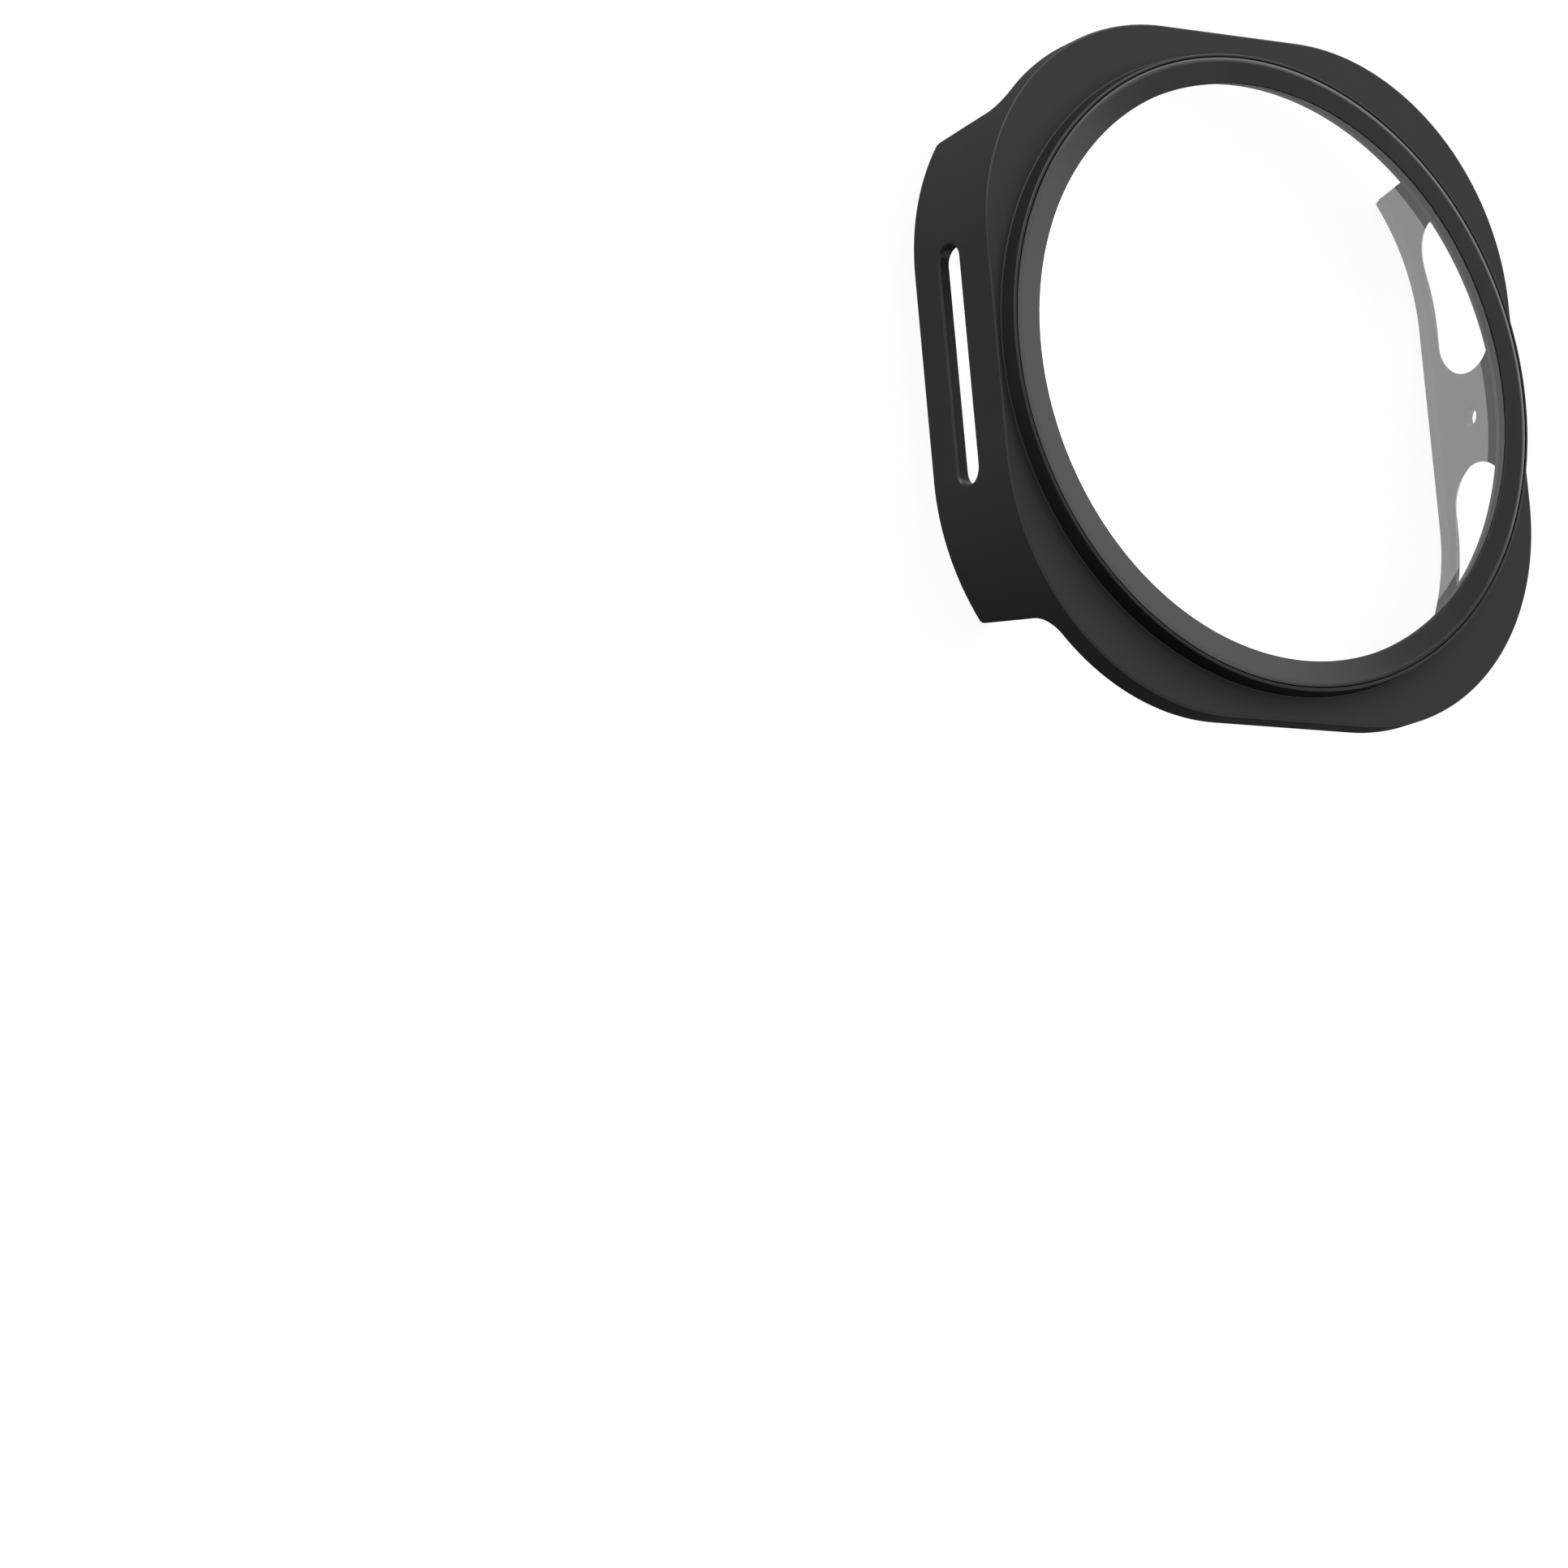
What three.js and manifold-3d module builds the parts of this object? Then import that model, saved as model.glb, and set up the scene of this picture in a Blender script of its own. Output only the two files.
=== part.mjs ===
import * as THREE from 'three';
import { mergeVertices } from 'three/addons/utils/BufferGeometryUtils.js';
import Module from 'manifold-3d';

const wasm = await Module();
wasm.setup();

// Clip-on bumper case: a rigid shell whose front plate carries a round turret with a lens in it.
// Millimetres. +Z points out of the lens, +Y to the twelve o'clock side and +X to the button side.
// Heights are measured up from the rear edge of the two deep side walls, which the case stands on.

// Outline of the shell, seen from the front
const caseWidth = 45.8;
const caseLength = 48.4;
const cornerRadius = 17.0;

// Shell
const faceHeight = 8.38;
const plateThickness = 0.95;
const wallThickness = 0.95;
const wallDraft = 0.14;
const rimRadius = 0.2;
const rearRound = 0.12;
const innerRound = 0.35;
const endWallDepth = 1.83;

// Retaining bead along the rear edge of the side walls, inside
const beadReach = 0.42;
const beadLeadIn = 0.25;
const beadTipHeight = 0.2;
const beadLand = 0.1;
const beadSlope = 0.37;

// Ends of the deep side walls
const wallEndSetback = 6.45;
const wallEndLean = THREE.MathUtils.degToRad(10.6);
const wallEndSkew = THREE.MathUtils.degToRad(15);
const wallEndFillet = 1.7;
const wallEndRound = 0.5;

// Speaker slot in the left wall
const slotLength = 16.5;
const slotHeight = 2.2;
const slotCentreHeight = 3.9;
const slotChamfer = 0.15;

// Button windows in the right wall, flared outwards
const windowRearSill = 1.57;
const windowFrontBand = 1.35;
const windowEndPost = 3.5;
const windowWeb = 6.5;
const windowWebShift = -0.15;
const windowEndFlare = 0.5;
const windowRearFlare = 0.85;
const windowFrontFlare = 0.2;

// Microphone hole in the web between the windows
const micHoleRadius = 0.7;
const micHoleDrop = 0.25;

// Turret around the lens
const turretSetback = 0.45;
const turretHeight = 1.32;
const turretDraft = 0.11;
const turretBaseFillet = 0.12;
const turretWall = 0.32;
const lipRound = 0.18;
const lipChamfer = 0.03;

// Bore through the turret's ledge, wider than the lens, and the recess round it on the rear
const boreStep = 0.25;
const recessWidth = 1.54;

// Glossy bezel ring, flush with the turret's lip and rounded off at its outer edge
const bezelGap = 0.1;
const bezelWidth = 1.77;
const bezelDepth = 0.45;
const bezelCrown = 0.05;
const bezelEdgeWidth = 0.3;
const bezelEdgeRadius = 1.0;

// Lens, clamped by its flange under the bezel ring; its plug reaches below the face
const lensTopDrop = 0.05;
const lensSideGap = 0.08;
const lensPlugDepth = 0.48;
const flangeThickness = 0.35;
const flangeGap = 0.2;

// Bond ring between the flange and the turret's ledge
const bondThickness = 0.15;
const bondMargin = 0.08;

// Fineness of the curves
const turnSteps = 96;
const cornerSteps = 16;
const endSteps = 12;
const roundSteps = 3;
const edgeSteps = 5;

// How far a cutter runs past the surface that it cuts
const overrun = 1.0;

// Heights and radii that follow from the sizes above
const lipTopHeight = faceHeight + turretHeight;
const plateUnderside = faceHeight - plateThickness;
const plateMiddle = faceHeight - plateThickness / 2;
const endWallRear = faceHeight - endWallDepth;
const wallEndHalfSpan = caseLength / 2 - wallEndSetback;
const windowFront = faceHeight - windowFrontBand;
const windowHeight = windowFront - windowRearSill;
const windowCentreHeight = (windowFront + windowRearSill) / 2;
const windowLength = wallEndHalfSpan - windowEndPost - windowWeb / 2;
const micHoleHeight = windowCentreHeight - micHoleDrop;
const turretRadius = Math.min(caseWidth, caseLength) / 2 - turretSetback;
const pocketRadius = turretRadius - turretWall;
const bezelRadius = pocketRadius - bezelGap;
const openingRadius = bezelRadius - bezelWidth;
const boreRadius = openingRadius + boreStep;
const recessRadius = openingRadius + recessWidth;
const bezelUnderside = lipTopHeight - bezelDepth;
const flangeUnderside = bezelUnderside - flangeThickness;
const ledgeHeight = flangeUnderside - bondThickness;

// Solids and meshes

function solidFrom(geometry) {
  geometry.deleteAttribute('normal');
  geometry.deleteAttribute('uv');
  const merged = mergeVertices(geometry);
  const corners = merged.index.array;
  const triangles = [];
  for (let i = 0; i < corners.length; i += 3) {
    const [a, b, c] = corners.slice(i, i + 3);
    const isFlat = a === b || b === c || c === a;
    if (!isFlat) {
      triangles.push(a, b, c);
    }
  }
  const vertProperties = new Float32Array(merged.attributes.position.array);
  const triVerts = new Uint32Array(triangles);
  return new wasm.Manifold(new wasm.Mesh({ numProp: 3, vertProperties, triVerts }));
}

function meshFrom(name, solid, material) {
  const { vertProperties, triVerts } = solid.getMesh();
  const geometry = new THREE.BufferGeometry();
  geometry.setAttribute('position', new THREE.BufferAttribute(vertProperties, 3));
  geometry.setIndex(new THREE.BufferAttribute(triVerts, 1));
  geometry.computeVertexNormals();
  const mesh = new THREE.Mesh(geometry, material);
  mesh.name = name;
  return mesh;
}

// Closed skin through rings of the same number of points; each ring runs counterclockwise
// when it is seen from the side that the rings advance to
function loft(rings, flatten) {
  const count = rings[0].length;
  const positions = rings.flat().flatMap((point) => point.toArray());
  const indices = [];
  for (let level = 0; level + 1 < rings.length; level += 1) {
    for (let i = 0; i < count; i += 1) {
      const here = level * count + i;
      const next = level * count + ((i + 1) % count);
      indices.push(here, next, next + count);
      indices.push(here, next + count, here + count);
    }
  }
  const last = (rings.length - 1) * count;
  const firstCap = THREE.ShapeUtils.triangulateShape(rings[0].map(flatten), []);
  const lastCap = THREE.ShapeUtils.triangulateShape(rings[rings.length - 1].map(flatten), []);
  for (const [a, b, c] of firstCap) {
    indices.push(a, c, b);
  }
  for (const [a, b, c] of lastCap) {
    indices.push(last + a, last + b, last + c);
  }
  const geometry = new THREE.BufferGeometry();
  geometry.setAttribute('position', new THREE.Float32BufferAttribute(positions, 3));
  geometry.setIndex(indices);
  return geometry;
}

const fromFront = (point) => new THREE.Vector2(point.x, point.y);
const fromSide = (point) => new THREE.Vector2(point.y, point.z);

// Solid of revolution round Z from [radius, height] pairs listed upwards
function turned(profile) {
  const points = profile.map(([radius, height]) => new THREE.Vector2(radius, height));
  const geometry = new THREE.LatheGeometry(points, turnSteps);
  geometry.rotateX(Math.PI / 2);
  return solidFrom(geometry);
}

// Points of an arc in steps, as [across, up] pairs round a centre
function arc(centreAcross, centreUp, radius, startAngle, endAngle, steps) {
  const points = [];
  for (let step = 0; step <= steps; step += 1) {
    const angle = startAngle + ((endAngle - startAngle) * step) / steps;
    points.push([centreAcross + radius * Math.cos(angle), centreUp + radius * Math.sin(angle)]);
  }
  return points;
}

// Rounded rectangle of the shell, drawn in by an inset, at one height
function shellRing(inset, height) {
  const radius = cornerRadius - inset;
  const acrossCentre = caseWidth / 2 - cornerRadius;
  const alongCentre = caseLength / 2 - cornerRadius;
  const quarters = [[1, 1], [-1, 1], [-1, -1], [1, -1]];
  return quarters.flatMap(([sideX, sideY], quarter) => {
    const start = (quarter * Math.PI) / 2;
    const end = start + Math.PI / 2;
    const corner = arc(sideX * acrossCentre, sideY * alongCentre, radius, start, end, cornerSteps);
    return corner.map(([x, y]) => new THREE.Vector3(x, y, height));
  });
}

// How far the outer skin leans in at a height
const draftAt = (height) => wallDraft * (1 - height / faceHeight);

// How far out the side wall stands at a place along it, drawn in by an inset
function wallReach(along, inset) {
  const radius = cornerRadius - inset;
  const bend = Math.max(Math.abs(along) - (caseLength / 2 - cornerRadius), 0);
  return caseWidth / 2 - cornerRadius + Math.sqrt(radius * radius - bend * bend);
}

const outerSkin = (inset) => (along, up) => wallReach(along, draftAt(up) + inset);
const innerSkin = (inset) => (along) => wallReach(along, wallThickness + inset);

// Slot shape with round ends laid on a skin of the right wall
function obroundRing(centreAlong, centreHeight, length, height, skin) {
  const endRadius = height / 2;
  const endCentre = length / 2 - endRadius;
  const roundEnd = (side) => {
    const start = (-side * Math.PI) / 2;
    const end = start + Math.PI;
    return arc(centreAlong + side * endCentre, centreHeight, endRadius, start, end, endSteps);
  };
  const outline = [...roundEnd(1), ...roundEnd(-1)];
  return outline.map(([along, up]) => new THREE.Vector3(skin(along, up), along, up));
}

// Shell parts

function shellBlank() {
  const rings = [
    shellRing(wallDraft + rearRound, 0),
    shellRing(draftAt(rearRound), rearRound),
  ];
  for (const [inwards, up] of arc(0, 0, rimRadius, 0, Math.PI / 2, roundSteps)) {
    rings.push(shellRing(rimRadius - inwards, faceHeight - rimRadius + up));
  }
  return solidFrom(loft(rings, fromFront));
}

function shellCavity() {
  const beadTop = beadTipHeight + beadLand;
  const rings = [
    shellRing(wallThickness + beadReach - beadLeadIn, -overrun),
    shellRing(wallThickness + beadReach - beadLeadIn, 0),
    shellRing(wallThickness + beadReach, beadTipHeight),
    shellRing(wallThickness + beadReach, beadTop),
    shellRing(wallThickness, beadTop + beadSlope),
  ];
  for (const [inwards, up] of arc(0, 0, innerRound, 0, Math.PI / 2, roundSteps)) {
    rings.push(shellRing(wallThickness + innerRound - inwards, plateUnderside - innerRound + up));
  }
  return solidFrom(loft(rings, fromFront));
}

function turretBlank() {
  const foot = arc(
    turretRadius + turretBaseFillet,
    faceHeight + turretBaseFillet,
    turretBaseFillet,
    -Math.PI / 2,
    -Math.PI,
    roundSteps,
  );
  const lipRadius = turretRadius - turretDraft - lipRound;
  const shoulder = arc(lipRadius, lipTopHeight - lipRound, lipRound, 0, Math.PI / 2, roundSteps);
  return turned([
    [0, plateMiddle],
    [turretRadius + turretBaseFillet, plateMiddle],
    ...foot,
    ...shoulder,
    [0, lipTopHeight],
  ]);
}

// Stepped bore, from the rear: recess, bore and the pocket of the lens and bezel ring
function turretBore() {
  return turned([
    [0, plateUnderside - overrun],
    [recessRadius, plateUnderside - overrun],
    [recessRadius, faceHeight],
    [boreRadius, faceHeight],
    [boreRadius, ledgeHeight],
    [pocketRadius, ledgeHeight],
    [pocketRadius, lipTopHeight - lipChamfer],
    [pocketRadius + lipChamfer, lipTopHeight],
    [pocketRadius + lipChamfer, lipTopHeight + overrun],
    [0, lipTopHeight + overrun],
  ]);
}

// Space behind one shallow end wall, which also cuts the ends of both side walls
function endWallCut(side) {
  const leanPerHeight = Math.tan(wallEndLean);
  const turn = (Math.PI / 2 - wallEndLean) / 2;
  const filletStart = wallEndHalfSpan + wallEndFillet * Math.tan(turn);
  const roundStart = wallEndHalfSpan - leanPerHeight * endWallRear;
  const roundCentre = roundStart + wallEndRound * leanPerHeight - wallEndRound / Math.cos(wallEndLean);
  const filletCentre = endWallRear - wallEndFillet;
  const filletEnd = Math.PI - wallEndLean;
  const edge = [
    ...arc(filletStart, filletCentre, wallEndFillet, Math.PI / 2, filletEnd, endSteps),
    ...arc(roundCentre, wallEndRound, wallEndRound, -wallEndLean, -Math.PI / 2, roundSteps),
    [roundCentre, -overrun],
  ];
  const beyond = caseLength / 2 + overrun;
  const outside = caseWidth / 2 + overrun;
  const rings = [-outside, 0, outside].map((across) => {
    const shift = (Math.abs(across) - wallReach(wallEndHalfSpan, 0)) * Math.tan(wallEndSkew);
    const skewed = edge.map(([along, up]) => [along + shift, up]);
    const profile = [...skewed, [beyond, -overrun], [beyond, endWallRear]];
    return profile.map(([along, up]) => new THREE.Vector3(across, side * along, up));
  });
  if (side < 0) {
    rings.forEach((ring) => ring.reverse());
  }
  return solidFrom(loft(rings, fromSide));
}

// Made on the right wall and turned half round to the left one
function speakerSlotCut() {
  const slotRing = (growth, skin) => obroundRing(
    0,
    slotCentreHeight,
    slotLength + 2 * growth,
    slotHeight + 2 * growth,
    skin,
  );
  const rings = [
    slotRing(0, innerSkin(overrun)),
    slotRing(0, outerSkin(slotChamfer)),
    slotRing(slotChamfer, outerSkin(0)),
    slotRing(slotChamfer, outerSkin(-overrun)),
  ];
  const geometry = loft(rings, fromSide);
  geometry.rotateZ(Math.PI);
  return solidFrom(geometry);
}

function buttonWindowCut(side) {
  const centreAlong = windowWebShift + side * (windowWeb + windowLength) / 2;
  const innerRing = (skin) => obroundRing(
    centreAlong,
    windowCentreHeight,
    windowLength,
    windowHeight,
    skin,
  );
  const outerRing = (skin) => obroundRing(
    centreAlong,
    windowCentreHeight + (windowFrontFlare - windowRearFlare) / 2,
    windowLength + 2 * windowEndFlare,
    windowHeight + windowFrontFlare + windowRearFlare,
    skin,
  );
  const rings = [
    innerRing(innerSkin(overrun)),
    innerRing(innerSkin(0)),
    outerRing(outerSkin(0)),
    outerRing(outerSkin(-overrun)),
  ];
  return solidFrom(loft(rings, fromSide));
}

function micHoleCut() {
  const depth = wallThickness + 2 * overrun;
  const geometry = new THREE.CylinderGeometry(micHoleRadius, micHoleRadius, depth, 2 * endSteps);
  geometry.rotateZ(Math.PI / 2);
  geometry.translate((caseWidth - wallThickness) / 2, 0, micHoleHeight);
  return solidFrom(geometry);
}

// Pieces

function makeBumperFrame() {
  const blank = shellBlank().subtract(shellCavity()).add(turretBlank());
  const cuts = [
    turretBore(),
    endWallCut(1),
    endWallCut(-1),
    speakerSlotCut(),
    buttonWindowCut(1),
    buttonWindowCut(-1),
    micHoleCut(),
  ];
  const frame = cuts.reduce((solid, cut) => solid.subtract(cut), blank);
  const polycarbonate = new THREE.MeshStandardMaterial({
    color: 0x26272a,
    roughness: 0.55,
    metalness: 0,
  });
  return meshFrom('bumper_frame', frame, polycarbonate);
}

// Heights here are from the ring's underside
function makeBezelRing() {
  const edge = arc(
    bezelRadius - bezelEdgeWidth,
    bezelDepth - bezelEdgeRadius,
    bezelEdgeRadius,
    Math.acos(bezelEdgeWidth / bezelEdgeRadius),
    Math.PI / 2,
    edgeSteps,
  );
  const solid = turned([
    [openingRadius, 0],
    [bezelRadius, 0],
    ...edge,
    [openingRadius, bezelDepth + bezelCrown],
    [openingRadius, 0],
  ]);
  const gloss = new THREE.MeshStandardMaterial({ color: 0x101011, roughness: 0.12, metalness: 0 });
  const mesh = meshFrom('bezel_ring', solid, gloss);
  mesh.position.z = bezelUnderside;
  return mesh;
}

// Heights here are from the flange's underside
function makeLens() {
  const lensRadius = openingRadius - lensSideGap;
  const flangeRadius = pocketRadius - flangeGap;
  const lensTop = lipTopHeight - lensTopDrop - flangeUnderside;
  const lensBottom = faceHeight - lensPlugDepth - flangeUnderside;
  const solid = turned([
    [0, lensBottom],
    [lensRadius, lensBottom],
    [lensRadius, 0],
    [flangeRadius, 0],
    [flangeRadius, flangeThickness],
    [lensRadius, flangeThickness],
    [lensRadius, lensTop],
    [0, lensTop],
  ]);
  const glass = new THREE.MeshStandardMaterial({
    color: 0xdfe6e6,
    roughness: 0.03,
    metalness: 0,
    transparent: true,
    opacity: 0.25,
  });
  const mesh = meshFrom('lens', solid, glass);
  mesh.position.z = flangeUnderside;
  return mesh;
}

// Heights here are from the turret's ledge
function makeBondRing() {
  const innerRadius = boreRadius + bondMargin;
  const outerRadius = pocketRadius - flangeGap;
  const solid = turned([
    [innerRadius, 0],
    [outerRadius, 0],
    [outerRadius, bondThickness],
    [innerRadius, bondThickness],
    [innerRadius, 0],
  ]);
  const adhesive = new THREE.MeshStandardMaterial({ color: 0x151516, roughness: 0.7, metalness: 0 });
  const mesh = meshFrom('bond_ring', solid, adhesive);
  mesh.position.z = ledgeHeight;
  return mesh;
}

const bumperCase = new THREE.Group();
bumperCase.add(makeBumperFrame(), makeBezelRing(), makeLens(), makeBondRing());

export default bumperCase;
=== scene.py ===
import math

import bpy
from mathutils import Euler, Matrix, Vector


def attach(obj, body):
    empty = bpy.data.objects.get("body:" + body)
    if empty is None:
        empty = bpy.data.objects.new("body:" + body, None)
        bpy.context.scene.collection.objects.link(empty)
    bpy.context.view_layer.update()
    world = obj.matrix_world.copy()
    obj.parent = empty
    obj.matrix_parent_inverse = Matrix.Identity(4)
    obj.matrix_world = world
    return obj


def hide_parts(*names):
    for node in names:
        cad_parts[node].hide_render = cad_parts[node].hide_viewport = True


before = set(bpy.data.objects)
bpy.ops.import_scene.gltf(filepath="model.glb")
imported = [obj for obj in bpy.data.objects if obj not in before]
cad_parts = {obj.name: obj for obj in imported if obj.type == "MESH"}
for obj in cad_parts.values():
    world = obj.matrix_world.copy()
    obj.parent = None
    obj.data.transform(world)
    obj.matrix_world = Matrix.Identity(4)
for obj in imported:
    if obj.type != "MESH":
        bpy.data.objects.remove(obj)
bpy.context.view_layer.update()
mm = 0.001


cameraSetup = {
    "place": (-0.364539, -0.143003, 0.436454),   # metres
    "turn": (15.4012, -35.6772, -6.0157),   # degrees, XYZ
    "lens": 195.61,   # millimetres, as the sensor
    "sensor": 36.0,
    "clip": (0.01, 20.0),   # metres
}


def placeCamera(setup):
    data = bpy.data.cameras.new("studioCamera")
    data.lens = setup["lens"]
    data.sensor_width = setup["sensor"]
    data.sensor_fit = "HORIZONTAL"
    data.clip_start, data.clip_end = setup["clip"]
    camera = bpy.data.objects.new("studioCamera", data)
    camera.location = setup["place"]
    camera.rotation_euler = Euler([math.radians(angle) for angle in setup["turn"]], "XYZ")
    bpy.context.scene.collection.objects.link(camera)
    bpy.context.scene.camera = camera


placeCamera(cameraSetup)
print("camera placed")


# meshes are made in millimetres, and finishMesh turns them to metres
def arcPoints(centre, radius, startAngle, endAngle, steps):
    across, up = centre
    points = []
    for step in range(steps + 1):
        angle = math.radians(startAngle + (endAngle - startAngle) * step / steps)
        points.append((across + radius * math.cos(angle), up + radius * math.sin(angle)))
    return points


def loftMesh(name, rings):
    # closed skin through rings with the same number of points
    count = len(rings[0])
    points = [point for ring in rings for point in ring]
    faces = []
    for level in range(len(rings) - 1):
        for here in range(count):
            after = (here + 1) % count
            low, high = level * count, (level + 1) * count
            faces.append((low + here, low + after, high + after, high + here))
    faces.append(tuple(reversed(range(count))))
    faces.append(tuple(range((len(rings) - 1) * count, len(rings) * count)))
    mesh = bpy.data.meshes.new(name)
    mesh.from_pydata(points, [], faces)
    mesh.validate()
    return mesh


def turnMesh(name, profile, steps):
    # profile is (radius, height) pairs: a closed one makes a ring,
    # and one that starts and ends on the axis makes a solid
    solid = profile[0][0] == 0 and profile[-1][0] == 0
    rim = profile[1:-1] if solid else profile
    points = []
    for step in range(steps):
        angle = 2 * math.pi * step / steps
        across, along = math.cos(angle), math.sin(angle)
        points += [(radius * across, radius * along, height) for radius, height in rim]
    count = len(rim)
    faces = []
    for step in range(steps):
        here, there = step * count, ((step + 1) % steps) * count
        for i in range(count - 1 if solid else count):
            after = (i + 1) % count
            faces.append((here + i, there + i, there + after, here + after))
    if solid:
        faces.append(tuple(reversed([step * count for step in range(steps)])))
        faces.append(tuple(step * count + count - 1 for step in range(steps)))
    mesh = bpy.data.meshes.new(name)
    mesh.from_pydata(points, [], faces)
    mesh.validate()
    return mesh


def objectFrom(mesh):
    piece = bpy.data.objects.new(mesh.name, mesh)
    bpy.context.scene.collection.objects.link(piece)
    return piece


def applyModifiers(piece):
    bpy.context.view_layer.update()
    graph = bpy.context.evaluated_depsgraph_get()
    mesh = bpy.data.meshes.new_from_object(piece.evaluated_get(graph), depsgraph=graph)
    old = piece.data
    piece.modifiers.clear()
    piece.data = mesh
    mesh.name = piece.name
    if old.users == 0:
        bpy.data.meshes.remove(old)


def combine(piece, toolMesh, operation):
    tool = objectFrom(toolMesh)
    modifier = piece.modifiers.new("cut", "BOOLEAN")
    modifier.solver = "EXACT"
    modifier.operation = operation
    modifier.object = tool
    applyModifiers(piece)
    bpy.data.objects.remove(tool)


areaWeight = 100   # the most there is: big faces decide the normals


def finishMesh(piece, edgeAngle, lift=0.0):
    # millimetres to metres, smooth shading with firm edges, big flat faces kept flat
    for vertex in piece.data.vertices:
        vertex.co = (vertex.co + Vector((0, 0, lift))) * mm
    piece.data.shade_smooth()
    piece.data.set_sharp_from_angle(angle=math.radians(edgeAngle))
    modifier = piece.modifiers.new("normals", "WEIGHTED_NORMAL")
    modifier.keep_sharp = True
    modifier.weight = areaWeight
    applyModifiers(piece)


# sizes are in millimetres and angles in degrees
shellSizes = {
    "width": 45.8, "length": 48.4, "cornerRadius": 17.0,
    "faceHeight": 8.38, "plate": 0.95, "wall": 0.95, "draft": 0.14,
    "rimRadius": 0.2, "rearRound": 0.12, "innerRound": 0.35, "endWallDepth": 1.83,
    "beadReach": 0.42, "beadLeadIn": 0.25, "beadTip": 0.2, "beadLand": 0.1, "beadSlope": 0.37,
    "endSetback": 6.45, "endLean": 10.6, "endSkew": 15.0, "endFillet": 1.7, "endRound": 0.5,
    "footRound": 0.45, "footRoundTop": 0.25, "footOverlap": 0.01,
    "cornerSteps": 40, "turnSteps": 256, "fineSteps": 24, "roundSteps": 6, "clearSteps": 2,
    "edgeAngle": 32,
}


def shellRing(inset, height):
    s = shellSizes
    radius = s["cornerRadius"] - inset
    ring = []
    for quarter, (sideX, sideY) in enumerate(((1, 1), (-1, 1), (-1, -1), (1, -1))):
        centre = (sideX * cornerAcross, sideY * cornerAlong)
        start = 90 * quarter
        corner = arcPoints(centre, radius, start, start + 90, s["cornerSteps"])
        ring += [(x, y, height) for x, y in corner]
    return ring


def draftAt(height):
    return shellSizes["draft"] * (1 - height / shellSizes["faceHeight"])


def wallReach(along, inset):
    radius = shellSizes["cornerRadius"] - inset
    bend = max(abs(along) - cornerAlong, 0)
    return cornerAcross + math.sqrt(radius * radius - bend * bend)


def obroundRing(centreAlong, centreHeight, length, height, reach):
    endRadius = height / 2
    endCentre = length / 2 - endRadius
    steps = shellSizes["fineSteps"]
    outline = arcPoints((centreAlong + endCentre, centreHeight), endRadius, -90, 90, steps)
    outline += arcPoints((centreAlong - endCentre, centreHeight), endRadius, 90, 270, steps)
    return [(reach(along, up), along, up) for along, up in outline]


def outerSkin(inset):
    return lambda along, up: wallReach(along, draftAt(up) + inset)


def innerSkin(inset):
    return lambda along, up: wallReach(along, shellSizes["wall"] + inset)


def shellBlank():
    s = shellSizes
    rings = []
    for inwards, up in arcPoints((0, 0), s["rearRound"], -90, 0, s["roundSteps"]):
        height = s["rearRound"] + up
        rings.append(shellRing(draftAt(height) + s["rearRound"] - inwards, height))
    for inwards, up in arcPoints((0, 0), s["rimRadius"], 0, 90, s["roundSteps"]):
        rings.append(shellRing(s["rimRadius"] - inwards, s["faceHeight"] - s["rimRadius"] + up))
    return loftMesh("shellBlank", rings)


def shellCavity():
    s = shellSizes
    rings = [
        shellRing(s["wall"] + s["beadReach"] - s["beadLeadIn"], -overrun),
        shellRing(s["wall"] + s["beadReach"] - s["beadLeadIn"], 0),
        shellRing(s["wall"] + s["beadReach"], s["beadTip"]),
        shellRing(s["wall"] + s["beadReach"], beadTop),
        shellRing(s["wall"], beadTop + s["beadSlope"]),
    ]
    for inwards, up in arcPoints((0, 0), s["innerRound"], 0, 90, s["roundSteps"]):
        height = plateUnderside - s["innerRound"] + up
        rings.append(shellRing(s["wall"] + s["innerRound"] - inwards, height))
    return loftMesh("shellCavity", rings)


turretSizes = {
    "radius": 22.45, "height": 1.32, "draft": 0.11, "baseFillet": 0.12, "wall": 0.32,
    "lipRound": 0.18, "lipChamfer": 0.03, "boreStep": 0.25, "recess": 1.54,
}


def turretBlank():
    t = turretSizes
    foot = arcPoints(
        (t["radius"] + t["baseFillet"], shellSizes["faceHeight"] + t["baseFillet"]),
        t["baseFillet"], -90, -180, shellSizes["roundSteps"],
    )
    lipRadius = t["radius"] - t["draft"] - t["lipRound"]
    lipCentre = (lipRadius, lipTop - t["lipRound"])
    shoulder = arcPoints(lipCentre, t["lipRound"], 0, 90, 2 * shellSizes["roundSteps"])
    profile = [(0, plateMiddle), (t["radius"] + t["baseFillet"], plateMiddle)]
    profile += foot + shoulder + [(0, lipTop)]
    return turnMesh("turretBlank", profile, shellSizes["turnSteps"])


def turretBore():
    t = turretSizes
    recessRadius = openingRadius + t["recess"]
    profile = [
        (0, plateUnderside - overrun),
        (recessRadius, plateUnderside - overrun),
        (recessRadius, shellSizes["faceHeight"]),
        (boreRadius, shellSizes["faceHeight"]),
        (boreRadius, ledgeHeight),
        (pocketRadius, ledgeHeight),
        (pocketRadius, lipTop - t["lipChamfer"]),
        (pocketRadius + t["lipChamfer"], lipTop),
        (pocketRadius + t["lipChamfer"], lipTop + overrun),
        (0, lipTop + overrun),
    ]
    return turnMesh("turretBore", profile, shellSizes["turnSteps"])


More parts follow.
